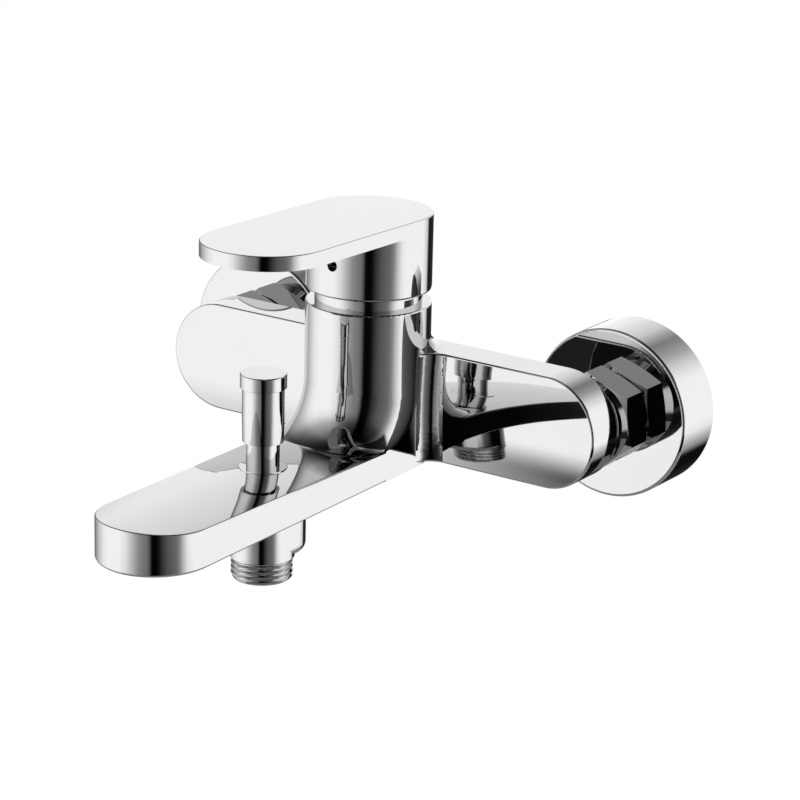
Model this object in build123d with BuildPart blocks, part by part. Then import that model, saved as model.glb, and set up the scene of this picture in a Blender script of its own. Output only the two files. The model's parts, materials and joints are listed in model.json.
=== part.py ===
from build123d import *
import os
from math import cos, radians, sin, sqrt

# Wall mounted single lever bath faucet with a diverter and a shower outlet.
# Millimetres. +X along the wall, -Y out of the wall, +Z up. The wall is the plane Y = 0 and
# the two inlet axes cross it at Z = 0, half the inlet spacing to each side of the origin.

os.makedirs("parts", exist_ok=True)

# ---- driving dimensions -------------------------------------------------------------------
INLET_SPACING = 150.0
INLET_X = INLET_SPACING / 2
G_HALF_R = 10.477  # G1/2 thread, major radius
G_THREE_QUARTER_R = 13.22  # G3/4 thread, major radius
GAP = 0.05  # radial clearance of turned fits

# Body: a flat obround bar, an upright barrel and a flat spout, cast in one piece.
BAR_R = 19.5
BAR_END_X = 69.5
BAR_REAR = 37.1
BAR_FRONT = 52.1
BAR_CROWN = 0.9  # bulge of the front face over its height
BAR_EDGE_R = 0.8
BARREL_Y = -57.5
BARREL_R = 21.75
BARREL_TOP = 35.4
BARREL_FOOT = -20.6
WEB_R = 7.0  # upright blend between the barrel and the bar
FOOT_R = 4.5  # blend between the barrel and the top of the bar
FLARE_R = 18.5  # blend between the barrel and the top of the spout
INSET = 0.01

SPOUT_END_Y = -171.3
SPOUT_END_R = 19.9
SPOUT_TOP = -8.9  # ridge of the crowned top at the barrel axis
TOP_SLOPE = 0.010
BOTTOM_SLOPE = 0.034
CROWN = 1.2  # height of the crown over the half width of the spout
DIVERTER_Y = -116.3

# Shower outlet under the spout.
BOSS_R = 11.0
BOSS_STRETCH = 6.0
BOSS_FOOT = -40.4
NIPPLE_END = -48.2

# Diverter.
KNOB_TOP = 23.0
KNOB_BOTTOM = -0.4
KNOB_RIM_R = 7.85
KNOB_R = 7.1
NECK_OF_BONNET_R = 5.6
ROD_R = 2.5
DIVERTER_TRAVEL = 9.0
WASHER = 1.5
PLUNGER = 2.6

# Water ways.
CHAMBER_R = 17.6
CHAMBER_FLOOR = 1.0
NUT_SEAT = 30.4
NUT_R = 18.6
CHANNEL_TOP = -12.6
CHANNEL_FLOOR = -18.6
CHANNEL_WIDTH = 22.0
INLET_BORE_R = 8.45
INLET_BORE_END = -46.5
CROSS_R = 4.5  # bores from the inlets towards the barrel
CROSS_Y = -45.0
CROSS_Z = -5.5
CROSS_END_X = 3.0
PORT_X = 7.5
PORT_Y = -49.0
PORT_R = 3.2
OUT_PORT_Y = -66.5
OUT_PORT_R = 4.5
DUCT_WIDTH = 10.0  # from the channel down beside the diverter valve
DUCT_REAR = -102.0
DUCT_FRONT = -106.0
DUCT_FLOOR = -33.0
DUCT_TOP = -25.0  # roof of its opening into the valve
WALL_TO_VALVE_Y = -108.0
VALVE_R = 7.5
VALVE_SEAT = -36.4
VALVE_TOP = VALVE_SEAT + 2 * WASHER + PLUNGER + DIVERTER_TRAVEL + 0.2
NIPPLE_SOCKET_R = 9.45
BONNET_SEAT_R = 8.2
BONNET_BORE_R = 6.2
BONNET_SINK = 0.45
ORIFICE_R = 5.2
AERATOR_R = 11.0
AERATOR_TOP = -14.0

# Cartridge and lever.
PIVOT_Z = 36.0
STEM_ARM = 12.0  # from the pivot pin down to the ball end
STEM_SIDE = 8.0
STEM_BALL_R = 2.8
PIN_R = 1.5
LIFT_DEG = 24.0
DISC_R = 10.3
HOUSING_R = 17.4
NECK_R = 13.7
ROTOR_R = 11.0
SKIRT_R = 21.65
SKIRT_BOTTOM = 40.2
SKIRT_WALL = 2.2
LEVER_TOP = 66.9
LEVER_REACH = 58.4
LEVER_TILT = 0.85
PLATE = 5.05
SCREW_Z = 51.6

# Wall flanges and unions.
FLANGE_R = 29.7
FLANGE_DEPTH = 19.7
NUT_AF = 30.0
UNION_NUT_START = 20.4
UNION_NUT_END = 32.3
NUT_TWIST = 8.8  # angle at which the nuts came to rest

BARREL_AXIS = Plane(origin=(0, BARREL_Y, 0))
DIVERTER_AXIS = Plane(origin=(0, DIVERTER_Y, 0))


def spout_ridge(y):
    """Height of the spout's top along its middle line."""
    return SPOUT_TOP + TOP_SLOPE * (y - BARREL_Y)


def spout_bottom(y):
    """Height of the spout's flat underside."""
    return BARREL_FOOT + BOTTOM_SLOPE * (y - BARREL_Y)


def save(part, name):
    part.label = name
    export_step(part, "parts/" + name + ".step")


def turned(points, x=0.0, y=0.0):
    """A solid of revolution about the vertical line through (x, y), from (radius, height) points."""
    with BuildPart() as piece:
        with BuildSketch(Plane(origin=(x, y, 0), x_dir=(1, 0, 0), z_dir=(0, -1, 0))):
            with BuildLine():
                Polyline(*points, close=True)
            make_face()
        revolve(axis=Axis((x, y, 0), (0, 0, 1)))
    return piece.part


def lathed(points, x):
    """A solid of revolution about an inlet axis, from (radius, distance from the wall) points."""
    with BuildPart() as piece:
        with BuildSketch(Plane(origin=(x, 0, 0), x_dir=(1, 0, 0), z_dir=(0, 0, 1))):
            with BuildLine():
                Polyline(*[(radius, -distance) for radius, distance in points], close=True)
            make_face()
        revolve(axis=Axis((x, 0, 0), (0, 1, 0)))
    return piece.part


# ---- body ---------------------------------------------------------------------------------
flare_y = BARREL_Y - FLARE_R
flare_foot = spout_ridge(flare_y) - CROWN
flare_head = flare_foot + FLARE_R
boss_rear_y = DIVERTER_Y + BOSS_STRETCH

with BuildPart() as spout:
    with BuildSketch(Plane.XY.offset(-32)):
        with Locations((0, flare_y)):
            Circle(BARREL_R)
        with Locations((0, SPOUT_END_Y)):
            Circle(SPOUT_END_R)
        make_hull()
    extrude(amount=30)
    # The underside slopes down towards the tip.
    with BuildSketch(Plane.YZ):
        with BuildLine():
            Polyline(
                (0, spout_bottom(0)),
                (-210, spout_bottom(-210)),
                (-210, -40),
                (0, -40),
                close=True,
            )
        make_face()
    extrude(amount=40, both=True, mode=Mode.SUBTRACT)
    # The top is crowned across its width.
    crown_r = (SPOUT_END_R**2 + CROWN**2) / (2 * CROWN)
    crown_x = 25.0
    crown_drop = crown_r - sqrt(crown_r**2 - crown_x**2)
    with BuildSketch(Plane(origin=(0, 0, spout_ridge(0)), x_dir=(1, 0, 0), z_dir=(0, -1, -TOP_SLOPE))):
        with BuildLine():
            ThreePointArc((-crown_x, -crown_drop), (0, 0), (crown_x, -crown_drop))
            Polyline(
                (crown_x, -crown_drop),
                (crown_x, 15),
                (-crown_x, 15),
                (-crown_x, -crown_drop),
            )
        make_face()
    extrude(amount=220, mode=Mode.SUBTRACT)
    fillet(spout.faces().sort_by(Axis.Z)[-1].edges(), 0.5)
    fillet(spout.faces().sort_by(Axis.Z)[0].edges(), 0.8)

front_edge_y = -BAR_FRONT + BAR_CROWN / 3
front_middle_y = front_edge_y - BAR_CROWN
inside_bar_y = -BAR_REAR - 1
stub_front_y = BARREL_Y - 4.5

with BuildPart() as bar:
    with BuildSketch(Plane.XZ.offset(BAR_REAR)):
        SlotCenterToCenter(2 * BAR_END_X, 2 * BAR_R)
    extrude(amount=BAR_FRONT)
    # The front face is crowned over its height.
    with BuildSketch(Plane.YZ):
        with BuildLine():
            ThreePointArc((front_edge_y, -BAR_R), (front_middle_y, 0), (front_edge_y, BAR_R))
            Polyline((front_edge_y, BAR_R), (0, BAR_R), (0, -BAR_R), (front_edge_y, -BAR_R))
        make_face()
    extrude(amount=BAR_END_X + BAR_R + 1, both=True, mode=Mode.INTERSECT)
    # Band of the barrel, a hair inside its surface, for the upright webs to start from.
    with BuildSketch(Plane.XY.offset(-BAR_R)):
        with Locations((0, BARREL_Y)):
            Circle(BARREL_R - INSET)
        with Locations((0, inside_bar_y + BARREL_R)):
            Rectangle(3 * BARREL_R, 2 * BARREL_R, mode=Mode.SUBTRACT)
        with Locations((0, stub_front_y - BARREL_R)):
            Rectangle(3 * BARREL_R, 2 * BARREL_R, mode=Mode.SUBTRACT)
    extrude(amount=2 * BAR_R)
    corner_y = (front_edge_y + front_middle_y) / 2
    upright_edges = bar.edges().filter_by(lambda e: e.length > 2 * BAR_R - 1 and abs(e.center().Z) < 0.1)
    corners = upright_edges.filter_by(
        lambda e: abs(e.center().Y - corner_y) < 1.0 and abs(e.center().X) < BARREL_R
    )
    fillet(corners, WEB_R)
    front_edges = bar.edges().filter_by(lambda e: e.center().Y < front_edge_y + 0.1)
    front_outline = front_edges.filter_by(
        lambda e: abs(e.center().X) > BARREL_R and abs(e.center().Z) > BAR_R - 0.1
    )
    fillet(front_outline, BAR_EDGE_R)
    fillet(bar.edges().filter_by(lambda e: abs(e.center().Y + BAR_REAR) < 0.05), BAR_EDGE_R)
    with BuildSketch(Plane.XY.offset(BARREL_FOOT)):
        with Locations((0, BARREL_Y)):
            Circle(BARREL_R)
    extrude(amount=BARREL_TOP - BARREL_FOOT)
    rim = bar.faces().sort_by(Axis.Z)[-1].edges()
    fillet(rim, 0.6)

# Concave ring at the foot of the barrel, kept to where the bar and its webs lie under it.
with BuildPart() as foot_ring:
    with BuildSketch(Plane(origin=(0, BARREL_Y, 0), x_dir=(1, 0, 0), z_dir=(0, -1, 0))):
        with BuildLine():
            Line((BARREL_R - 3, BAR_R - 1), (BARREL_R + FOOT_R, BAR_R - 1))
            Line((BARREL_R + FOOT_R, BAR_R - 1), (BARREL_R + FOOT_R, BAR_R))
            CenterArc((BARREL_R + FOOT_R, BAR_R + FOOT_R), FOOT_R, 180, 90)
            Line((BARREL_R, BAR_R + FOOT_R), (BARREL_R - 3, BAR_R + FOOT_R))
            Line((BARREL_R - 3, BAR_R + FOOT_R), (BARREL_R - 3, BAR_R - 1))
        make_face()
    revolve(axis=Axis((0, BARREL_Y, 0), (0, 0, 1)))
    with BuildSketch(Plane.XY.offset(BAR_R - 1)):
        with Locations((0, BARREL_Y)):
            Circle(BARREL_R)
        with Locations((0, (front_edge_y - BAR_REAR) / 2)):
            Rectangle(90, -front_edge_y - BAR_REAR - 2 * BAR_EDGE_R)
    extrude(amount=FOOT_R + 1, mode=Mode.INTERSECT)

# Front of the flare: half a disc carried down along an arc, a hair narrower than the barrel.
nose_r = BARREL_R - INSET
with BuildPart() as flare_nose:
    with BuildLine(Plane.YZ) as flare_path:
        CenterArc((flare_y, flare_head), FLARE_R, 0, -84)
    with BuildSketch(Plane.XY.offset(flare_head)):
        with BuildLine():
            ThreePointArc((-nose_r, BARREL_Y), (0, BARREL_Y - nose_r), (nose_r, BARREL_Y))
            Line((nose_r, BARREL_Y), (-nose_r, BARREL_Y))
        make_face()
    sweep(path=flare_path.line, normal=(0, 0, 1))

# Straight sides between the barrel and the front of the flare.
with BuildPart() as flare:
    with BuildSketch(Plane.YZ):
        with BuildLine():
            Line((BARREL_Y, BARREL_FOOT), (BARREL_Y, flare_head))
            CenterArc((flare_y, flare_head), FLARE_R, 0, -90)
            Line((flare_y, flare_foot), (flare_y, spout_bottom(flare_y)))
            Line((flare_y, spout_bottom(flare_y)), (BARREL_Y, BARREL_FOOT))
        make_face()
    extrude(amount=BARREL_R, both=True)
    add(flare_nose.part)

with BuildPart() as body:
    add(bar.part)
    add(flare.part)
    add(spout.part)
    add(foot_ring.part)

    # Boss of the shower outlet, drawn out towards the barrel and rounded off at its rear.
    with BuildSketch(Plane.XY.offset(BOSS_FOOT)) as boss_plan:
        with Locations((0, DIVERTER_Y), (0, boss_rear_y)):
            Circle(BOSS_R)
        make_hull()
    extrude(amount=CHANNEL_FLOOR - BOSS_FOOT)
    boss_edge = body.faces().filter_by(Axis.Z).sort_by(Axis.Z)[0].edges()
    fillet(boss_edge, 3.5)
    with BuildSketch(Plane.XY.offset(BOSS_FOOT)):
        with Locations((0, DIVERTER_Y)):
            Circle(BOSS_R)
    extrude(amount=CHANNEL_FLOOR - BOSS_FOOT)

    # Inlet bores, their cross channels and the two ports up to the cartridge.
    with BuildSketch(Plane.XZ.offset(BAR_REAR)):
        with Locations((-INLET_X, 0), (INLET_X, 0)):
            Circle(INLET_BORE_R)
    extrude(amount=-INLET_BORE_END - BAR_REAR, mode=Mode.SUBTRACT)
    for side in (-1, 1):
        cross_start = (side * INLET_X, CROSS_Y, CROSS_Z)
        with BuildSketch(Plane(origin=cross_start, x_dir=(0, 1, 0), z_dir=(-side, 0, 0))):
            Circle(CROSS_R)
        extrude(amount=INLET_X - CROSS_END_X, mode=Mode.SUBTRACT)
        with BuildSketch(Plane.XY.offset(CROSS_Z)):
            with Locations((side * PORT_X, PORT_Y)):
                Circle(PORT_R)
        extrude(amount=CHAMBER_FLOOR - CROSS_Z, mode=Mode.SUBTRACT)

    # Chamber of the cartridge and the port down to the spout.
    with BuildSketch(Plane.XY.offset(CHAMBER_FLOOR)):
        with Locations((0, BARREL_Y)):
            Circle(CHAMBER_R)
    extrude(amount=BARREL_TOP - CHAMBER_FLOOR, mode=Mode.SUBTRACT)
    with BuildSketch(Plane.XY.offset(NUT_SEAT)):
        with Locations((0, BARREL_Y)):
            Circle(NUT_R)
    extrude(amount=BARREL_TOP - NUT_SEAT, mode=Mode.SUBTRACT)
    with BuildSketch(Plane.XY.offset(CHANNEL_FLOOR)):
        with Locations((0, OUT_PORT_Y)):
            Circle(OUT_PORT_R)
    extrude(amount=CHAMBER_FLOOR - CHANNEL_FLOOR, mode=Mode.SUBTRACT)

    # Feed channel, duct down to the diverter valve, and the channel on to the tip.
    with BuildSketch(Plane.XY.offset(CHANNEL_FLOOR)):
        for rear, front in ((BARREL_Y - OUT_PORT_R, DUCT_FRONT), (WALL_TO_VALVE_Y, SPOUT_END_Y)):
            with Locations((0, (rear + front) / 2)):
                Rectangle(CHANNEL_WIDTH, rear - front)
    extrude(amount=CHANNEL_TOP - CHANNEL_FLOOR, mode=Mode.SUBTRACT)
    for front, top in ((DUCT_FRONT, CHANNEL_FLOOR), (DIVERTER_Y + VALVE_R - 4, DUCT_TOP)):
        with BuildSketch(Plane.XY.offset(DUCT_FLOOR)):
            with Locations((0, (DUCT_REAR + front) / 2)):
                Rectangle(DUCT_WIDTH, DUCT_REAR - front)
        extrude(amount=top - DUCT_FLOOR, mode=Mode.SUBTRACT)
    for radius, low, high in (
        (NIPPLE_SOCKET_R, BOSS_FOOT, VALVE_SEAT),
        (VALVE_R, VALVE_SEAT, VALVE_TOP),
        (ORIFICE_R, VALVE_TOP, CHANNEL_FLOOR),
        (BONNET_BORE_R, CHANNEL_TOP, 0),
    ):
        with BuildSketch(Plane.XY.offset(low)):
            with Locations((0, DIVERTER_Y)):
                Circle(radius)
        extrude(amount=high - low, mode=Mode.SUBTRACT)
    # Shallow seat of the bonnet's flange in the spout's top.
    with BuildSketch(Plane.XY.offset(spout_ridge(DIVERTER_Y) - BONNET_SINK)):
        with Locations((0, DIVERTER_Y)):
            Circle(BONNET_SEAT_R)
    extrude(amount=3, mode=Mode.SUBTRACT)

    # Seat of the aerator under the spout's tip.
    with BuildSketch(Plane.XY.offset(-30)):
        with Locations((0, SPOUT_END_Y)):
            Circle(AERATOR_R)
    extrude(amount=AERATOR_TOP + 30, mode=Mode.SUBTRACT)
save(body.part, "body")

# ---- wall connections, one set on each side ------------------------------------------------
for side, hand in ((-1, "left"), (1, "right")):
    x = side * INLET_X

    with BuildPart() as wall_union:
        add(
            lathed(
                [
                    (7.6, -24.0),
                    (G_HALF_R - 1.0, -24.0),
                    (G_HALF_R, -23.0),
                    (G_HALF_R, 0.0),
                    (G_HALF_R, 2.0),
                    (12.2, 2.0),
                    (12.2, 12.0),
                    (G_THREE_QUARTER_R, 12.0),
                    (G_THREE_QUARTER_R, 23.6),
                    (G_THREE_QUARTER_R - 0.9, 24.5),
                    (8.4, 24.5),
                    (8.4, 16.0),
                    (7.6, 15.0),
                ],
                x,
            )
        )
    save(wall_union.part, hand + "_wall_union")

    with BuildPart() as escutcheon:
        with BuildSketch(Plane.XZ):
            with Locations((x, 0)):
                Circle(FLANGE_R)
        extrude(amount=FLANGE_DEPTH)
        fillet(escutcheon.faces().sort_by(Axis.Y)[0].edges(), 1.0)
        with BuildSketch(Plane.XZ):
            with Locations((x, 0)):
                Circle(FLANGE_R - 1.4)
        extrude(amount=FLANGE_DEPTH - 1.4, mode=Mode.SUBTRACT)
        with BuildSketch(Plane.XZ):
            with Locations((x, 0)):
                Circle(G_THREE_QUARTER_R + 0.5)
        extrude(amount=FLANGE_DEPTH, mode=Mode.SUBTRACT)
    save(escutcheon.part, hand + "_escutcheon")

    with BuildPart() as wall_gasket:
        add(lathed([(24.5, 0.0), (28.2, 0.0), (28.2, 2.5), (24.5, 2.5)], x))
    save(wall_gasket.part, hand + "_wall_gasket")

    # Union nut: a hexagon with both ends turned to a cone, over the tail's collar.
    with BuildPart() as union_nut:
        with BuildSketch(Plane.XZ.offset(UNION_NUT_START)):
            with Locations((x, 0)):
                RegularPolygon(NUT_AF / 2, 6, major_radius=False, rotation=30 + NUT_TWIST)
        extrude(amount=UNION_NUT_END - UNION_NUT_START)
        corner = NUT_AF / 2 / cos(radians(30))
        bevel = 1.2
        cone = lathed(
            [
                (0, UNION_NUT_START),
                (corner - bevel * 2, UNION_NUT_START),
                (corner, UNION_NUT_START + bevel),
                (corner, UNION_NUT_END - bevel),
                (corner - bevel * 2, UNION_NUT_END),
                (0, UNION_NUT_END),
            ],
            x,
        )
        add(cone, mode=Mode.INTERSECT)
        bore = lathed(
            [
                (0, UNION_NUT_START),
                (G_THREE_QUARTER_R + GAP, UNION_NUT_START),
                (G_THREE_QUARTER_R + GAP, 28.7),
                (11.3, 28.7),
                (11.3, UNION_NUT_END),
                (0, UNION_NUT_END),
            ],
            x,
        )
        add(bore, mode=Mode.SUBTRACT)
    save(union_nut.part, hand + "_union_nut")

    # Tail screwed into the body, with the loose nut's collar and a conical shoulder.
    with BuildPart() as inlet_tail:
        add(
            lathed(
                [
                    (7.0, 26.1),
                    (12.9, 26.1),
                    (12.9, 28.6),
                    (11.2, 28.6),
                    (11.2, 32.5),
                    (12.6, 32.6),
                    (15.4, BAR_REAR),
                    (INLET_BORE_R, BAR_REAR),
                    (INLET_BORE_R, 43.0),
                    (7.0, 43.0),
                ],
                x,
            )
        )
    save(inlet_tail.part, hand + "_inlet_tail")

    with BuildPart() as union_washer:
        add(lathed([(9.4, 24.5), (12.8, 24.5), (12.8, 26.1), (9.4, 26.1)], x))
    save(union_washer.part, hand + "_union_washer")

    # Sieve that sits in the washer.
    with BuildPart() as strainer:
        with BuildSketch(Plane.XZ.offset(24.6)):
            with Locations((x, 0)):
                Circle(9.35)
            with Locations((x, 0)):
                with HexLocations(1.15, 5, 5):
                    Circle(0.75, mode=Mode.SUBTRACT)
        extrude(amount=0.6)
    save(strainer.part, hand + "_strainer")

    # Non-return valve: a cage in the tail and a poppet that opens away from the wall.
    with BuildPart() as valve_cage:
        add(
            lathed(
                [
                    (5.0, 30.0),
                    (6.95, 30.0),
                    (6.95, 41.5),
                    (5.9, 41.5),
                    (5.9, 33.0),
                    (5.0, 32.2),
                ],
                x,
            )
        )
        with BuildSketch(Plane.XZ.offset(39.5)):
            with Locations((x, 0)):
                Circle(2.2)
                Rectangle(12.6, 1.4)
                Rectangle(1.4, 12.6)
                Circle(1.25, mode=Mode.SUBTRACT)
        extrude(amount=1.2)
    save(valve_cage.part, hand + "_check_valve_cage")

    with BuildPart() as poppet:
        add(
            lathed(
                [
                    (0, 32.1),
                    (4.7, 32.1),
                    (5.4, 33.0),
                    (5.4, 34.2),
                    (1.2, 35.0),
                    (1.2, 41.2),
                    (0, 41.2),
                ],
                x,
            )
        )
    save(poppet.part, hand + "_check_valve_poppet")

# ---- cartridge -----------------------------------------------------------------------------
BASE_BOTTOM = CHAMBER_FLOOR + 0.6
BASE_TOP = 12.4
CERAMIC_TOP = 16.0
FILM = 0.05
PORTS = ((-7.5, 8.5, 3.0), (7.5, 8.5, 3.0), (0.0, -9.0, 4.2))

with BuildPart() as cartridge_base:
    with BuildSketch(BARREL_AXIS.offset(BASE_BOTTOM)):
        Circle(HOUSING_R)
        for port_x, port_y, port_r in PORTS:
            with Locations((port_x, port_y)):
                Circle(port_r, mode=Mode.SUBTRACT)
    extrude(amount=BASE_TOP - BASE_BOTTOM)
    for port_x, port_y, port_r in PORTS:
        with BuildSketch(BARREL_AXIS.offset(BASE_BOTTOM)):
            with Locations((port_x, port_y)):
                Circle(port_r + 1.6)
                Circle(port_r, mode=Mode.SUBTRACT)
        extrude(amount=1.0, mode=Mode.SUBTRACT)
save(cartridge_base.part, "cartridge_base")

with BuildPart() as base_seals:
    with BuildSketch(BARREL_AXIS.offset(CHAMBER_FLOOR)):
        for port_x, port_y, port_r in PORTS:
            with Locations((port_x, port_y)):
                Circle(port_r + 1.6)
                Circle(port_r + 0.25, mode=Mode.SUBTRACT)
    extrude(amount=1.6)
save(base_seals.part, "base_seals")

with BuildPart() as fixed_disc:
    with BuildSketch(BARREL_AXIS.offset(BASE_TOP)):
        Circle(15.0)
        for port_x, port_y, port_r in PORTS:
            with Locations((port_x, port_y)):
                Circle(port_r - 0.2, mode=Mode.SUBTRACT)
    extrude(amount=CERAMIC_TOP - BASE_TOP)
save(fixed_disc.part, "fixed_ceramic_disc")

moving_disc_foot = CERAMIC_TOP + FILM
moving_disc_top = 19.0
with BuildPart() as moving_disc:
    with BuildSketch(BARREL_AXIS.offset(moving_disc_foot)):
        Circle(DISC_R)
    extrude(amount=moving_disc_top - moving_disc_foot)
    # Mixing pocket in the sliding face.
    with BuildSketch(BARREL_AXIS.offset(moving_disc_foot)):
        with Locations((0, -2)):
            SlotCenterToCenter(4, 9, rotation=90)
    extrude(amount=1.7, mode=Mode.SUBTRACT)
save(moving_disc.part, "moving_ceramic_disc")

carrier_top = 25.6
with BuildPart() as disc_carrier:
    with BuildSketch(BARREL_AXIS.offset(moving_disc_top)):
        Circle(DISC_R)
    extrude(amount=carrier_top - moving_disc_top)
    with BuildSketch(BARREL_AXIS.offset(20.5)):
        Circle(3.4)
    extrude(amount=carrier_top - 20.5, mode=Mode.SUBTRACT)
save(disc_carrier.part, "disc_carrier")

ceiling = 28.2
with BuildPart() as housing:
    add(
        turned(
            [
                (15.6, BASE_TOP),
                (HOUSING_R, BASE_TOP),
                (HOUSING_R, NUT_SEAT),
                (NECK_R, NUT_SEAT),
                (NECK_R, 36.4),
                (NECK_R - 0.6, 37.0),
                (ROTOR_R + GAP, 37.0),
                (ROTOR_R + GAP, ceiling),
                (15.6, ceiling),
            ],
            0,
            BARREL_Y,
        )
    )
save(housing.part, "cartridge_housing")

rotor_foot = 26.2
rotor_top = 39.0
with BuildPart() as rotor:
    add(
        turned(
            [
                (0, rotor_foot),
                (14.2, rotor_foot),
                (14.2, ceiling - 0.3),
                (ROTOR_R, ceiling - 0.3),
                (ROTOR_R, 32.0),
                (ROTOR_R - 1.3, 32.0),
                (ROTOR_R - 1.3, 33.4),
                (ROTOR_R, 33.4),
                (ROTOR_R, rotor_top - 0.5),
                (ROTOR_R - 0.5, rotor_top),
                (0, rotor_top),
            ],
            0,
            BARREL_Y,
        )
    )
    # Slot that lets the stem swing forwards at its foot.
    lift = radians(LIFT_DEG)
    slot_front = STEM_ARM * sin(lift) + STEM_BALL_R + 0.25
    slot_rear = (STEM_SIDE / 2 + (rotor_top - PIVOT_Z) * sin(lift)) / cos(lift) + 0.25
    with BuildSketch(BARREL_AXIS.offset(rotor_foot)):
        with Locations((0, (slot_rear - slot_front) / 2)):
            Rectangle(STEM_SIDE + 0.4, slot_rear + slot_front)
    extrude(amount=rotor_top - rotor_foot, mode=Mode.SUBTRACT)
    with BuildSketch(Plane(origin=(-12, BARREL_Y, PIVOT_Z), x_dir=(0, 1, 0), z_dir=(1, 0, 0))):
        Circle(PIN_R)
    extrude(amount=24, mode=Mode.SUBTRACT)
save(rotor.part, "stem_guide")

with BuildPart() as rotor_ring:
    add(
        turned(
            [(ROTOR_R - 1.3, 32.1), (ROTOR_R, 32.1), (ROTOR_R, 33.3), (ROTOR_R - 1.3, 33.3)],
            0,
            BARREL_Y,
        )
    )
save(rotor_ring.part, "stem_guide_o_ring")

with BuildPart() as pivot_pin:
    with BuildSketch(Plane(origin=(-10.2, BARREL_Y, PIVOT_Z), x_dir=(0, 1, 0), z_dir=(1, 0, 0))):
        Circle(PIN_R)
    extrude(amount=20.4)
save(pivot_pin.part, "stem_pivot_pin")

with BuildPart() as stem:
    with BuildSketch(BARREL_AXIS.offset(31)):
        RectangleRounded(STEM_SIDE, STEM_SIDE, 0.8)
    extrude(amount=22.5)
    with BuildSketch(BARREL_AXIS.offset(PIVOT_Z - STEM_ARM)):
        Circle(2.2)
    extrude(amount=31 - PIVOT_Z + STEM_ARM)
    with Locations((0, BARREL_Y, PIVOT_Z - STEM_ARM)):
        Sphere(STEM_BALL_R)
    with BuildSketch(Plane(origin=(-6, BARREL_Y, PIVOT_Z), x_dir=(0, 1, 0), z_dir=(1, 0, 0))):
        Circle(PIN_R + GAP)
    extrude(amount=12, mode=Mode.SUBTRACT)
save(stem.part, "cartridge_stem")

with BuildPart() as retaining_nut:
    add(
        turned(
            [
                (NECK_R + 0.2, NUT_SEAT),
                (NUT_R - GAP, NUT_SEAT),
                (NUT_R - GAP, BARREL_TOP),
                (NECK_R + 0.2, BARREL_TOP),
            ],
            0,
            BARREL_Y,
        )
    )
    # Notches for the spanner.
    with BuildSketch(BARREL_AXIS.offset(33.0)):
        with PolarLocations(NECK_R + 0.2, 6):
            Circle(1.6)
    extrude(amount=BARREL_TOP - 33.0, mode=Mode.SUBTRACT)
save(retaining_nut.part, "retaining_nut")

# Domed ring that closes the top of the barrel.
with BuildPart() as trim_ring:
    with BuildSketch(Plane(origin=(0, BARREL_Y, 0), x_dir=(1, 0, 0), z_dir=(0, -1, 0))):
        with BuildLine():
            Polyline((14.2, BARREL_TOP), (NUT_R, BARREL_TOP), (NUT_R, 38.8))
            ThreePointArc((NUT_R, 38.8), (17.4, 41.0), (14.8, 42.0))
            Polyline((14.8, 42.0), (12.8, 42.0), (12.8, 40.8), (14.2, 40.2), (14.2, BARREL_TOP))
        make_face()
    revolve(axis=Axis((0, BARREL_Y, 0), (0, 0, 1)))
save(trim_ring.part, "trim_ring")

# ---- lever ---------------------------------------------------------------------------------
lever_slope = -sin(radians(LEVER_TILT))  # the plate rises towards its front end
lever_front = BARREL_Y - LEVER_REACH


def over_lever(drop):
    """Side profile of everything above the plate's top face, lowered by the given drop."""
    rear, front = BARREL_Y + 40, BARREL_Y - 110
    Polyline(
        (rear, LEVER_TOP - drop + lever_slope * 40),
        (front, LEVER_TOP - drop - lever_slope * 110),
        (front, LEVER_TOP + 20),
        (rear, LEVER_TOP + 20),
        close=True,
    )


# Front of the plate, as wide as the skirt and round at its end.
with BuildPart() as lever_plate:
    with BuildSketch(Plane.XY.offset(LEVER_TOP - 20)):
        with Locations((0, lever_front)):
            Circle(SKIRT_R)
        with Locations((0, (BARREL_Y + lever_front) / 2)):
            Rectangle(2 * SKIRT_R, LEVER_REACH)
    extrude(amount=25)
    with BuildSketch(Plane.YZ):
        with BuildLine():
            over_lever(PLATE)
        make_face()
    extrude(amount=30, both=True, mode=Mode.INTERSECT)

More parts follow.
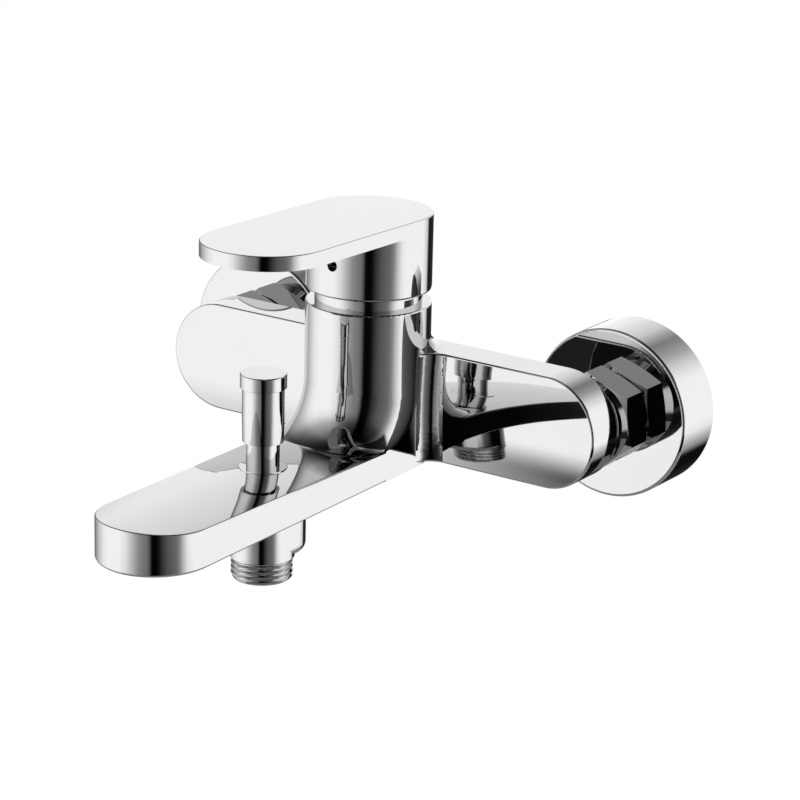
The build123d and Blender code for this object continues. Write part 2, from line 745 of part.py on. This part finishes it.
with BuildPart() as lever:
    with BuildSketch(BARREL_AXIS.offset(SKIRT_BOTTOM)):
        Circle(SKIRT_R)
    extrude(amount=LEVER_TOP + 2 - SKIRT_BOTTOM)
    add(lever_plate.part)
    with BuildSketch(Plane.YZ):
        with BuildLine():
            over_lever(0)
        make_face()
    extrude(amount=30, both=True, mode=Mode.SUBTRACT)
    fillet(lever.faces().sort_by(Axis.Z)[-1].edges(), 0.4)
    fillet(lever.faces().sort_by(Axis.Z)[0].edges(), 0.7)
    with BuildSketch(BARREL_AXIS.offset(SKIRT_BOTTOM)):
        Circle(SKIRT_R - SKIRT_WALL)
    extrude(amount=57.5 - SKIRT_BOTTOM, mode=Mode.SUBTRACT)
    # Socket for the stem.
    with BuildSketch(BARREL_AXIS.offset(45.5)):
        Circle(8.0)
    extrude(amount=13)
    with BuildSketch(BARREL_AXIS.offset(45.5)):
        Rectangle(STEM_SIDE + 2 * GAP, STEM_SIDE + 2 * GAP)
    extrude(amount=8.2, mode=Mode.SUBTRACT)
    # The skirt's rear edge rises in an arc, so the lever clears the barrel when it is lifted.
    with BuildSketch(Plane.YZ):
        with BuildLine():
            ThreePointArc(
                (BARREL_Y + 3, SKIRT_BOTTOM),
                (BARREL_Y + 15, SKIRT_BOTTOM + 27 - sqrt(27**2 - 12**2)),
                (BARREL_Y + 24, SKIRT_BOTTOM + 27 - sqrt(27**2 - 21**2)),
            )
            Polyline(
                (BARREL_Y + 24, SKIRT_BOTTOM + 27 - sqrt(27**2 - 21**2)),
                (BARREL_Y + 24, SKIRT_BOTTOM - 2),
                (BARREL_Y + 3, SKIRT_BOTTOM - 2),
                (BARREL_Y + 3, SKIRT_BOTTOM),
            )
        make_face()
    extrude(amount=30, both=True, mode=Mode.SUBTRACT)
    # Hole for the grub screw, through the skirt and the socket.
    with BuildSketch(Plane.XZ.offset(-BARREL_Y + 3)):
        with Locations((0, SCREW_Z)):
            Circle(2.0)
    extrude(amount=30, mode=Mode.SUBTRACT)
save(lever.part, "lever_handle")

with BuildPart() as grub_screw:
    with BuildSketch(Plane.XZ.offset(-BARREL_Y + STEM_SIDE / 2)):
        with Locations((0, SCREW_Z)):
            Circle(2.0)
    extrude(amount=4.6)
    with BuildSketch(Plane.XZ.offset(-BARREL_Y + STEM_SIDE / 2 + 4.6)):
        with Locations((0, SCREW_Z)):
            RegularPolygon(1.1, 6)
    extrude(amount=-2.2, mode=Mode.SUBTRACT)
save(grub_screw.part, "lever_grub_screw")

# ---- diverter ------------------------------------------------------------------------------
with BuildPart() as knob:
    add(
        turned(
            [
                (0, KNOB_BOTTOM),
                (KNOB_R - 0.2, KNOB_BOTTOM),
                (KNOB_R, 8.0),
                (KNOB_R, 17.9),
                (KNOB_R - 0.35, 17.9),
                (KNOB_R - 0.35, 18.3),
                (KNOB_RIM_R, 18.3),
                (KNOB_RIM_R, KNOB_TOP - 0.3),
                (KNOB_RIM_R - 0.3, KNOB_TOP),
                (0, KNOB_TOP),
            ],
            0,
            DIVERTER_Y,
        )
    )
    with BuildSketch(DIVERTER_AXIS.offset(KNOB_BOTTOM)):
        Circle(ROD_R)
    extrude(amount=16, mode=Mode.SUBTRACT)
save(knob.part, "diverter_knob")

bonnet_top = KNOB_BOTTOM - 0.3
bonnet_foot = -14.0
ridge = spout_ridge(DIVERTER_Y)
with BuildPart() as bonnet:
    add(
        turned(
            [
                (ROD_R + GAP, bonnet_foot),
                (BONNET_BORE_R - GAP, bonnet_foot),
                (BONNET_BORE_R - GAP, ridge - BONNET_SINK),
                (BONNET_SEAT_R - GAP, ridge - BONNET_SINK),
                (8.0, ridge + 0.12),
                (NECK_OF_BONNET_R, ridge + 0.12),
                (NECK_OF_BONNET_R, bonnet_top),
                (ROD_R + GAP, bonnet_top),
                (ROD_R + GAP, -3.6),
                (4.0, -3.6),
                (4.0, -5.2),
                (ROD_R + GAP, -5.2),
                (ROD_R + GAP, -7.6),
                (4.0, -7.6),
                (4.0, -9.2),
                (ROD_R + GAP, -9.2),
            ],
            0,
            DIVERTER_Y,
        )
    )
save(bonnet.part, "diverter_bonnet")

with BuildPart() as rod_seals:
    for seal_foot in (-5.2, -9.2):
        with BuildSketch(DIVERTER_AXIS.offset(seal_foot + 0.1)):
            Circle(3.95)
            Circle(ROD_R + GAP, mode=Mode.SUBTRACT)
        extrude(amount=1.4)
save(rod_seals.part, "diverter_rod_seals")

washer_foot = VALVE_SEAT + GAP
plunger_foot = washer_foot + WASHER
plunger_top = plunger_foot + PLUNGER
with BuildPart() as rod:
    with BuildSketch(DIVERTER_AXIS.offset(washer_foot)):
        Circle(ROD_R)
    extrude(amount=KNOB_BOTTOM + 16 - washer_foot)
save(rod.part, "diverter_rod")

with BuildPart() as plunger:
    with BuildSketch(DIVERTER_AXIS.offset(plunger_foot)):
        Circle(6.9)
        Circle(ROD_R, mode=Mode.SUBTRACT)
    extrude(amount=PLUNGER)
save(plunger.part, "diverter_plunger")

for name, foot in (("lower_valve_washer", washer_foot), ("upper_valve_washer", plunger_top)):
    with BuildPart() as valve_washer:
        with BuildSketch(DIVERTER_AXIS.offset(foot)):
            Circle(6.6)
            Circle(ROD_R, mode=Mode.SUBTRACT)
        extrude(amount=WASHER)
    save(valve_washer.part, name)

with BuildPart() as rod_screw:
    with BuildSketch(DIVERTER_AXIS.offset(washer_foot)):
        Circle(3.6)
    extrude(amount=-1.2)
save(rod_screw.part, "diverter_rod_screw")

# Return spring, between the bonnet and the upper washer.
SPRING_WIRE = 0.3
SPRING_R = 3.9
spring_low = plunger_top + WASHER + SPRING_WIRE + 0.02
spring_high = bonnet_foot - SPRING_WIRE - 0.02
with BuildPart() as spring:
    with BuildLine(DIVERTER_AXIS.offset(spring_low)) as coil:
        Helix(pitch=(spring_high - spring_low) / 6, height=spring_high - spring_low, radius=SPRING_R)
    with BuildSketch(Plane(origin=coil.line @ 0, z_dir=coil.line % 0)):
        Circle(SPRING_WIRE)
    sweep(path=coil.line, is_frenet=True)
save(spring.part, "diverter_spring")

# ---- shower outlet and aerator ---------------------------------------------------------------
with BuildPart() as nipple:
    add(
        turned(
            [
                (5.0, VALVE_SEAT),
                (9.4, VALVE_SEAT),
                (9.4, -37.4),
                (8.2, -37.4),
                (8.2, -39.0),
                (9.4, -39.0),
                (9.4, BOSS_FOOT),
                (G_HALF_R, BOSS_FOOT),
                (G_HALF_R, NIPPLE_END + 1.0),
                (G_HALF_R - 1.0, NIPPLE_END),
                (7.4, NIPPLE_END),
                (7.4, -39.5),
                (5.0, -38.4),
            ],
            0,
            DIVERTER_Y,
        )
    )
save(nipple.part, "shower_outlet_nipple")

with BuildPart() as nipple_ring:
    add(turned([(8.2, -37.5), (9.42, -37.5), (9.42, -38.9), (8.2, -38.9)], 0, DIVERTER_Y))
save(nipple_ring.part, "shower_outlet_o_ring")

aerator_foot = spout_bottom(SPOUT_END_Y) + 0.8
with BuildPart() as aerator_shell:
    add(
        turned(
            [
                (9.2, aerator_foot),
                (AERATOR_R - GAP - 0.3, aerator_foot),
                (AERATOR_R - GAP, aerator_foot + 0.3),
                (AERATOR_R - GAP, -15.4),
                (9.6, -15.4),
                (9.6, aerator_foot + 1.0),
                (9.2, aerator_foot + 1.0),
            ],
            0,
            SPOUT_END_Y,
        )
    )
save(aerator_shell.part, "aerator_shell")

with BuildPart() as aerator_insert:
    with BuildSketch(Plane(origin=(0, SPOUT_END_Y, aerator_foot + 1.0))):
        Circle(9.55)
        with HexLocations(1.5, 5, 5):
            RegularPolygon(1.05, 6, mode=Mode.SUBTRACT)
    extrude(amount=5.0)
save(aerator_insert.part, "aerator_insert")

with BuildPart() as aerator_sieve:
    with BuildSketch(Plane(origin=(0, SPOUT_END_Y, aerator_foot + 6.05))):
        Circle(9.5)
        with GridLocations(1.7, 1.7, 7, 7):
            Circle(0.55, mode=Mode.SUBTRACT)
    extrude(amount=0.5)
save(aerator_sieve.part, "aerator_sieve")

with BuildPart() as aerator_gasket:
    with BuildSketch(Plane(origin=(0, SPOUT_END_Y, -15.4))):
        Circle(AERATOR_R - 0.1)
        Circle(8.0, mode=Mode.SUBTRACT)
    extrude(amount=1.4)
save(aerator_gasket.part, "aerator_gasket")
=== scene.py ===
import json
from math import cos, pi, radians, sin

import bmesh
import bpy
from mathutils import Matrix, Vector


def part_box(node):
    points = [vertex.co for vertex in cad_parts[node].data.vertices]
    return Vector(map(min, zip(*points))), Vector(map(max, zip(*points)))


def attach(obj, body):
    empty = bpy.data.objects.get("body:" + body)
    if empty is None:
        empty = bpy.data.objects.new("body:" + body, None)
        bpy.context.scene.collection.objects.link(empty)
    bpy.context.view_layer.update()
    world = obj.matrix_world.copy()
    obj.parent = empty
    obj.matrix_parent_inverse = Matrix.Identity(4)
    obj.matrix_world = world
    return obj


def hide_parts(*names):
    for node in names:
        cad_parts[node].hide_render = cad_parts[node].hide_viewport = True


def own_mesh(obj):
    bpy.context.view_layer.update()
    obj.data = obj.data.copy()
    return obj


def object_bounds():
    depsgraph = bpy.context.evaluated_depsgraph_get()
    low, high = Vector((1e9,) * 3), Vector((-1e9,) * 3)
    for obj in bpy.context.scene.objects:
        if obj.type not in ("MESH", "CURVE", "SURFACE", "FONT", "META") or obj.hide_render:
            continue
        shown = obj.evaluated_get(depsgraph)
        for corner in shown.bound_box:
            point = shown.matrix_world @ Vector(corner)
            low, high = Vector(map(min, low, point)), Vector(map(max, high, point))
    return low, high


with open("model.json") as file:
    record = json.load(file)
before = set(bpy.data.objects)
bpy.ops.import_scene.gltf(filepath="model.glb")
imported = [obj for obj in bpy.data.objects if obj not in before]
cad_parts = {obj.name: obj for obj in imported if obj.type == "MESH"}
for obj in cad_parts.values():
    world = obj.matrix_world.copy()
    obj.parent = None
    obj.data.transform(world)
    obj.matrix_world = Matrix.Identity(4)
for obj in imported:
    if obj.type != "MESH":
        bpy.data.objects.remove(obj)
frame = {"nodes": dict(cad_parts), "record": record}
cad_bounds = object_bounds()
NODES = frame["nodes"]
SLOT_OF = {row["node"]: row["material_slot"] for row in frame["record"]["subparts"]}

# ---- camera ---------------------------------------------------------------------------------
VIEW_AZIMUTH = radians(34.677)
VIEW_ELEVATION = radians(17.594)
VIEW_ROLL = radians(1.330)
VIEW_DISTANCE = 1.0215
LOOK_AT = Vector((0.0125, -0.060, 0.0022))
LENS_PER_WIDTH = 2978.4 / 800

back = Vector((
    sin(VIEW_AZIMUTH) * cos(VIEW_ELEVATION),
    -cos(VIEW_AZIMUTH) * cos(VIEW_ELEVATION),
    sin(VIEW_ELEVATION),
))
level = Vector((cos(VIEW_AZIMUTH), sin(VIEW_AZIMUTH), 0.0))
upright = back.cross(level)
right = level * cos(VIEW_ROLL) + upright * sin(VIEW_ROLL)
up = upright * cos(VIEW_ROLL) - level * sin(VIEW_ROLL)

camera_data = bpy.data.cameras.new("camera")
camera_data.sensor_width = 36.0
camera_data.lens = 36.0 * LENS_PER_WIDTH
camera_data.shift_x = 0.010
camera_data.clip_start = 0.01
camera_data.clip_end = 50.0
camera = bpy.data.objects.new("camera", camera_data)
bpy.context.scene.collection.objects.link(camera)
turn = Matrix((right, up, back)).transposed().to_4x4()
camera.matrix_world = Matrix.Translation(LOOK_AT + back * VIEW_DISTANCE) @ turn
bpy.context.scene.camera = camera


# ---- node helpers ---------------------------------------------------------------------------
class Graph:
    """Short way to add nodes to a material's or the world's tree."""

    def __init__(self, tree):
        self.tree = tree
        tree.nodes.clear()

    def add(self, kind, inputs=None, **settings):
        """A new node. inputs gives each socket's value, or the socket that feeds it."""
        node = self.tree.nodes.new(kind)
        for key, value in settings.items():
            setattr(node, key, value)
        for key, value in (inputs or {}).items():
            if isinstance(value, bpy.types.NodeSocket):
                self.tree.links.new(value, node.inputs[key])
            else:
                node.inputs[key].default_value = value
        return node

    def math(self, operation, a, b=0.0):
        return self.add("ShaderNodeMath", {0: a, 1: b}, operation=operation).outputs[0]

    def noise(self, where, scale, detail=2.0, roughness=0.5):
        inputs = {"Vector": where, "Scale": scale, "Detail": detail, "Roughness": roughness}
        return self.add("ShaderNodeTexNoise", inputs).outputs["Fac"]

    def spread(self, value, low, high, start=0.3, end=0.7):
        """The value's range from start to end, stretched to run from low to high."""
        inputs = {"Value": value, "From Min": start, "From Max": end, "To Min": low, "To Max": high}
        return self.add("ShaderNodeMapRange", inputs).outputs["Result"]

    def ramp(self, value, stops):
        """Grey that follows (position, brightness) stops along the value."""
        node = self.add("ShaderNodeValToRGB", {"Fac": value})
        elements = node.color_ramp.elements
        while len(elements) > 1:
            elements.remove(elements[-1])
        elements[0].position = stops[0][0]
        elements[0].color = (stops[0][1],) * 3 + (1.0,)
        for position, brightness in stops[1:]:
            elements.new(position).color = (brightness,) * 3 + (1.0,)
        return node.outputs["Color"]


def surface(name, settings, roughness=(0.3, 0.4, 60.0), bumps=(), tint=None):
    """A principled material whose roughness, relief and tint vary procedurally.

    roughness is (lowest, highest, noise scale), each bump is (noise scale, height in metres),
    and tint is (one colour, other colour, noise scale).
    """
    material = bpy.data.materials.new(name)
    material.use_nodes = True
    graph = Graph(material.node_tree)
    where = graph.add("ShaderNodeTexCoord").outputs["Object"]
    shader = graph.add("ShaderNodeBsdfPrincipled", settings)
    low, high, scale = roughness
    variation = graph.spread(graph.noise(where, scale, 4.0), low, high)
    graph.tree.links.new(variation, shader.inputs["Roughness"])
    normal = None
    for bump_scale, height in bumps:
        inputs = {"Height": graph.noise(where, bump_scale), "Distance": height, "Strength": 1.0}
        if normal:
            inputs["Normal"] = normal
        normal = graph.add("ShaderNodeBump", inputs).outputs["Normal"]
    if normal:
        graph.tree.links.new(normal, shader.inputs["Normal"])
    if tint:
        first, second, tint_scale = tint
        blend = graph.spread(graph.noise(where, tint_scale, 3.0), 0.0, 1.0)
        # Sockets 6 and 7 are the Mix node's two colours, and output 2 is the colour it gives.
        inputs = {0: blend, 6: (*first, 1.0), 7: (*second, 1.0)}
        mix = graph.add("ShaderNodeMix", inputs, data_type="RGBA")
        graph.tree.links.new(mix.outputs[2], shader.inputs["Base Color"])
    output = graph.add("ShaderNodeOutputMaterial")
    graph.tree.links.new(shader.outputs[0], output.inputs["Surface"])
    return material


# ---- materials ------------------------------------------------------------------------------
MATERIALS = {
    "chrome": surface(
        "polished_chrome",
        {"Metallic": 1.0},
        roughness=(0.015, 0.035, 90.0),
        bumps=((45.0, 6e-6), (160.0, 1e-6)),
        tint=((0.538, 0.543, 0.550), (0.551, 0.555, 0.562), 30.0),
    ),
    "brass": surface(
        "turned_brass",
        {"Metallic": 1.0},
        roughness=(0.16, 0.30, 400.0),
        bumps=((900.0, 2e-6),),
        tint=((0.74, 0.56, 0.27), (0.83, 0.66, 0.36), 120.0),
    ),
    "steel": surface(
        "stainless_steel",
        {"Metallic": 1.0},
        roughness=(0.18, 0.32, 500.0),
        bumps=((1200.0, 2e-6),),
        tint=((0.58, 0.58, 0.58), (0.68, 0.68, 0.67), 150.0),
    ),
    "rubber": surface(
        "black_rubber",
        {"Specular IOR Level": 0.35},
        roughness=(0.55, 0.75, 300.0),
        bumps=((1500.0, 1.2e-5),),
        tint=((0.018, 0.018, 0.019), (0.032, 0.032, 0.032), 200.0),
    ),
    "plastic": surface(
        "moulded_plastic",
        {"IOR": 1.49},
        roughness=(0.28, 0.42, 250.0),
        bumps=((1100.0, 6e-6),),
        tint=((0.70, 0.70, 0.68), (0.78, 0.78, 0.76), 80.0),
    ),
    "ceramic": surface(
        "lapped_ceramic",
        {"IOR": 1.7},
        roughness=(0.08, 0.16, 300.0),
        bumps=((2000.0, 1e-6),),
        tint=((0.86, 0.86, 0.83), (0.91, 0.91, 0.89), 90.0),
    ),
    "black_steel": surface(
        "black_oxide_steel",
        {"Metallic": 1.0},
        roughness=(0.30, 0.45, 600.0),
        bumps=((1800.0, 3e-6),),
        tint=((0.012, 0.012, 0.014), (0.03, 0.03, 0.033), 300.0),
    ),
}
for name, node in NODES.items():
    node.data.materials.clear()
    node.data.materials.append(MATERIALS[SLOT_OF[name]])


# ---- threads --------------------------------------------------------------------------------
PITCH = 1.814e-3  # 14 turns to the inch
THREAD_DEPTH = 1.162e-3
HALF_INCH_R = 10.477e-3
THREE_QUARTER_R = 13.22e-3
TURN_STEPS = 96
ROWS_PER_TURN = 14
FLAT = 0.12  # share of the half pitch at the crest, and at the root, that isn't flank
ROUNDING = 0.35  # how much of the flank's line is an S-curve, which rounds crest and root
CONE_SLOPE = 0.9
PLAIN_START = 0.2e-3  # stretch before the thread begins to run in


def groove(phase):
    """Depth of the thread's groove, 0 to 1, over one pitch, with rounded crest and root."""
    height = abs(2.0 * (phase % 1.0) - 1.0)
    flank = min(1.0, max(0.0, (height - FLAT) / (1.0 - 2.0 * FLAT)))
    rounded = flank * flank * (3.0 - 2.0 * flank)
    return rounded * ROUNDING + flank * (1.0 - ROUNDING)


def threaded_piece(name, node, place, axis, start, end, lead, runout, closing):
    """Turned piece that stands for a CAD node, with a half inch thread from start to end.

    start and end are distances along axis from place. closing holds the (radius, distance)
    points that complete the section, from the free end of the thread round to its start.
    lead is the length of the cone at the free end, and the thread runs in over runout.
    """
    mesh = bmesh.new()
    steps = int((end - start) / PITCH * ROWS_PER_TURN)
    along = Vector(axis)
    side = along.orthogonal().normalized()
    other = along.cross(side)
    rings = []
    for row in range(steps + 1):
        distance = start + (end - start) * row / steps
        fade = min(1.0, max(0.0, (distance - start - PLAIN_START) / runout))
        cone = max(0.0, lead - (end - distance)) * CONE_SLOPE
        ring = []
        for step in range(TURN_STEPS):
            cut = THREAD_DEPTH * fade * groove(distance / PITCH - step / TURN_STEPS)
            ring.append((HALF_INCH_R - max(cut, cone), distance))
        rings.append(ring)
    rings += [[point] * TURN_STEPS for point in closing]
    columns = []
    for ring in rings:
        column = []
        for step, (radius, distance) in enumerate(ring):
            angle = 2.0 * pi * step / TURN_STEPS
            offset = side * (radius * cos(angle)) + other * (radius * sin(angle))
            column.append(mesh.verts.new(Vector(place) + offset + along * distance))
        columns.append(column)
    count = len(columns)
    for row in range(count):
        first, second = columns[row], columns[(row + 1) % count]
        for step in range(TURN_STEPS):
            following = (step + 1) % TURN_STEPS
            mesh.faces.new((first[step], first[following], second[following], second[step]))
    bmesh.ops.recalc_face_normals(mesh, faces=mesh.faces)
    data = bpy.data.meshes.new(name)
    mesh.to_mesh(data)
    mesh.free()
    for polygon in data.polygons:
        polygon.use_smooth = True
    data.set_sharp_from_angle(angle=radians(38))
    data.materials.append(MATERIALS[SLOT_OF[node]])
    piece = bpy.data.objects.new(name, data)
    bpy.context.scene.collection.objects.link(piece)
    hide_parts(node)
    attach(piece, "faucet")


def middle(box):
    low, high = box
    return (Vector(low) + Vector(high)) / 2


UNION_REACH = 24.0e-3  # how far the unions screw into the wall
HIDDEN_SOCKET = 4.0e-3  # length of the nipple inside the body's socket

nipple_low, nipple_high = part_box("shower_outlet_nipple")
nipple_length = nipple_high[2] - nipple_low[2]
threaded_piece(
    "shower_outlet_thread",
    "shower_outlet_nipple",
    (*middle((nipple_low, nipple_high))[:2], nipple_high[2]),
    (0, 0, -1),
    HIDDEN_SOCKET,
    nipple_length,
    lead=1.0e-3,
    runout=0.9e-3,
    closing=(
        (7.4e-3, nipple_length),
        (7.4e-3, 3.1e-3),
        (5.0e-3, 2.0e-3),
        (5.0e-3, 0.0),
        (9.4e-3, 0.0),
        (9.4e-3, 1.0e-3),
        (8.2e-3, 1.0e-3),
        (8.2e-3, 2.6e-3),
        (9.4e-3, 2.6e-3),
        (9.4e-3, HIDDEN_SOCKET),
    ),
)
for hand in ("left", "right"):
    node_name = hand + "_wall_union"
    threaded_piece(
        hand + "_union_thread",
        node_name,
        (middle(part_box(node_name)).x, 0.0, 0.0),
        (0, 1, 0),
        -2.0e-3,
        UNION_REACH,
        lead=1.0e-3,
        runout=1.2e-3,
        closing=(
            (7.6e-3, UNION_REACH),
            (7.6e-3, -15.0e-3),
            (8.4e-3, -16.0e-3),
            (8.4e-3, -24.5e-3),
            (THREE_QUARTER_R - 0.9e-3, -24.5e-3),
            (THREE_QUARTER_R, -23.6e-3),
            (THREE_QUARTER_R, -12.0e-3),
            (12.2e-3, -12.0e-3),
            (12.2e-3, -2.0e-3),
        ),
    )

# ---- return spring of the diverter, copied onto a mesh of its own ----------------------------
spring = bpy.data.objects.new("diverter_return_spring", NODES["diverter_spring"].data.copy())
bpy.context.scene.collection.objects.link(spring)
spring.matrix_world = NODES["diverter_spring"].matrix_world
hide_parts("diverter_spring")
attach(spring, "faucet")
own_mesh(spring)

# ---- world: soft white studio with grey and black panels around it --------------------------
WHITE_PANEL = 1.62  # strength of its brightest part

world = bpy.data.worlds.new("studio")
bpy.context.scene.world = world
world.use_nodes = True
studio = Graph(world.node_tree)
direction = studio.add("ShaderNodeTexCoord").outputs["Generated"]
across, inward, height = studio.add("ShaderNodeSeparateXYZ", {0: direction}).outputs
outward = studio.math("MULTIPLY", inward, -1.0)
azimuth = studio.math("MULTIPLY", studio.math("ARCTAN2", across, outward), 180 / pi)
from_wall = studio.math("MULTIPLY", studio.math("ARCTAN2", across, inward), 180 / pi)
elevation = studio.math("MULTIPLY", studio.math("ARCSINE", height), 180 / pi)


def window(angle, low, high, soft):
    """1 where the angle is between low and high degrees, falling to 0 over soft degrees."""
    rise = {"Value": angle, "From Min": low - soft, "From Max": low + soft}
    drop = {"Value": angle, "From Min": high - soft, "From Max": high + soft}
    drop.update({"To Min": 1.0, "To Max": 0.0})
    edges = [
        studio.add("ShaderNodeMapRange", inputs, interpolation_type="SMOOTHSTEP").outputs[0]
        for inputs in (rise, drop)
    ]
    return studio.math("MULTIPLY", *edges)


def flagged(light, around_angle, around_range, up_range, soft, strength):
    """The light with a dark panel held in front of one part of the surroundings."""
    beside = window(around_angle, *around_range, soft)
    cover = studio.math("MULTIPLY", beside, window(elevation, *up_range, soft))
    keep = studio.math("SUBTRACT", 1.0, studio.math("MULTIPLY", cover, strength))
    return studio.math("MULTIPLY", light, keep)


# Brightness round the object, by azimuth in degrees, 0 straight out of the wall.
AROUND = (
    (-180, 0.38), (-172, 0.60), (-165, 0.79), (-138, 0.80), (-130, 0.22), (-120, 0.12),
    (-111, 0.28), (-100, 0.46), (-90, 0.63), (-78, 0.85), (-64, 0.97), (-34, 0.98), (-22, 0.86),
    (-12, 0.62), (-4, 0.44), (4, 0.29), (12, 0.22), (20, 0.175), (25, 0.09), (28.5, 0.003),
    (36, 0.001), (42, 0.006), (50, 0.045), (58, 0.090), (74, 0.150), (81, 0.26), (88, 0.55),
    (97, 0.88), (106, 0.98), (150, 0.95), (166, 0.55), (180, 0.38),
)
# Share of it left towards the floor and the ceiling, by elevation in degrees.
UPWARD = (
    (-90, 0.20), (-50, 0.30), (-30, 0.55), (-21, 1.0), (17, 1.0), (27, 0.88), (42, 0.46),
    (57, 0.24), (68, 0.10), (73, 0.12), (80, 0.42), (90, 0.50),
)
around = studio.ramp(
    studio.spread(azimuth, 0.0, 1.0, -180.0, 180.0),
    [(degrees / 360 + 0.5, brightness) for degrees, brightness in AROUND],
)
upward = studio.ramp(
    studio.spread(elevation, 0.0, 1.0, -90.0, 90.0),
    [(degrees / 180 + 0.5, share) for degrees, share in UPWARD],
)
# The brightest sides hold up best above and below.
fall = studio.math("POWER", upward, studio.math("SUBTRACT", 2.0, around))
light = studio.math("MULTIPLY", around, fall)
light = flagged(light, from_wall, (-50, 13), (-95, -9), 4.0, 0.97)  # behind, below
light = flagged(light, azimuth, (88, 137), (30, 95), 5.0, 0.96)  # right, above
light = flagged(light, azimuth, (-35, 110), (-95, -23), 3.0, 0.90)  # in front, below
shade = studio.add("ShaderNodeBackground", {"Color": light, "Strength": WHITE_PANEL})
plain = studio.add("ShaderNodeBackground", {"Color": (1, 1, 1, 1), "Strength": 1.0})
seen = studio.add("ShaderNodeLightPath").outputs["Is Camera Ray"]
blend = studio.add("ShaderNodeMixShader", {0: seen, 1: shade.outputs[0], 2: plain.outputs[0]})
studio.add("ShaderNodeOutputWorld", {"Surface": blend.outputs[0]})
bpy.context.scene.view_settings.view_transform = "Standard"

# ---- floor ----------------------------------------------------------------------------------
FLOOR_DROP = 0.40  # below the faucet
FLOOR_R = 0.60
FLOOR_Y = -0.08
FLOOR_GLOW = 0.55
floor_mesh = bmesh.new()
bmesh.ops.create_circle(floor_mesh, cap_ends=True, segments=96, radius=FLOOR_R)
floor_data = bpy.data.meshes.new("floor")
floor_mesh.to_mesh(floor_data)
floor_mesh.free()
pale = surface(
    "pale_floor",
    {"Specular IOR Level": 0.2, "Emission Color": (1, 1, 1, 1)},
    roughness=(0.7, 0.85, 20.0),
    tint=((0.86, 0.86, 0.86), (0.89, 0.89, 0.89), 6.0),
)
# The floor looks pale, yet it stays dim in the chrome, as the studio's black flags would keep it,
# and it is clear from underneath, so that it doesn't hide the faucet in views from below.
nodes, links = pale.node_tree.nodes, pale.node_tree.links
shader = next(node for node in nodes if node.type == "BSDF_PRINCIPLED")
glow = nodes.new("ShaderNodeMath")
glow.operation = "MULTIPLY"
glow.inputs[1].default_value = FLOOR_GLOW
links.new(nodes.new("ShaderNodeLightPath").outputs["Is Camera Ray"], glow.inputs[0])
links.new(glow.outputs[0], shader.inputs["Emission Strength"])
one_sided = nodes.new("ShaderNodeMixShader")
links.new(nodes.new("ShaderNodeNewGeometry").outputs["Backfacing"], one_sided.inputs[0])
links.new(shader.outputs[0], one_sided.inputs[1])
links.new(nodes.new("ShaderNodeBsdfTransparent").outputs[0], one_sided.inputs[2])
output = next(node for node in nodes if node.type == "OUTPUT_MATERIAL")
links.new(one_sided.outputs[0], output.inputs["Surface"])
floor_data.materials.append(pale)
floor = bpy.data.objects.new("floor", floor_data)
floor.location = (0.0, FLOOR_Y, cad_bounds[0][2] - FLOOR_DROP)
bpy.context.scene.collection.objects.link(floor)
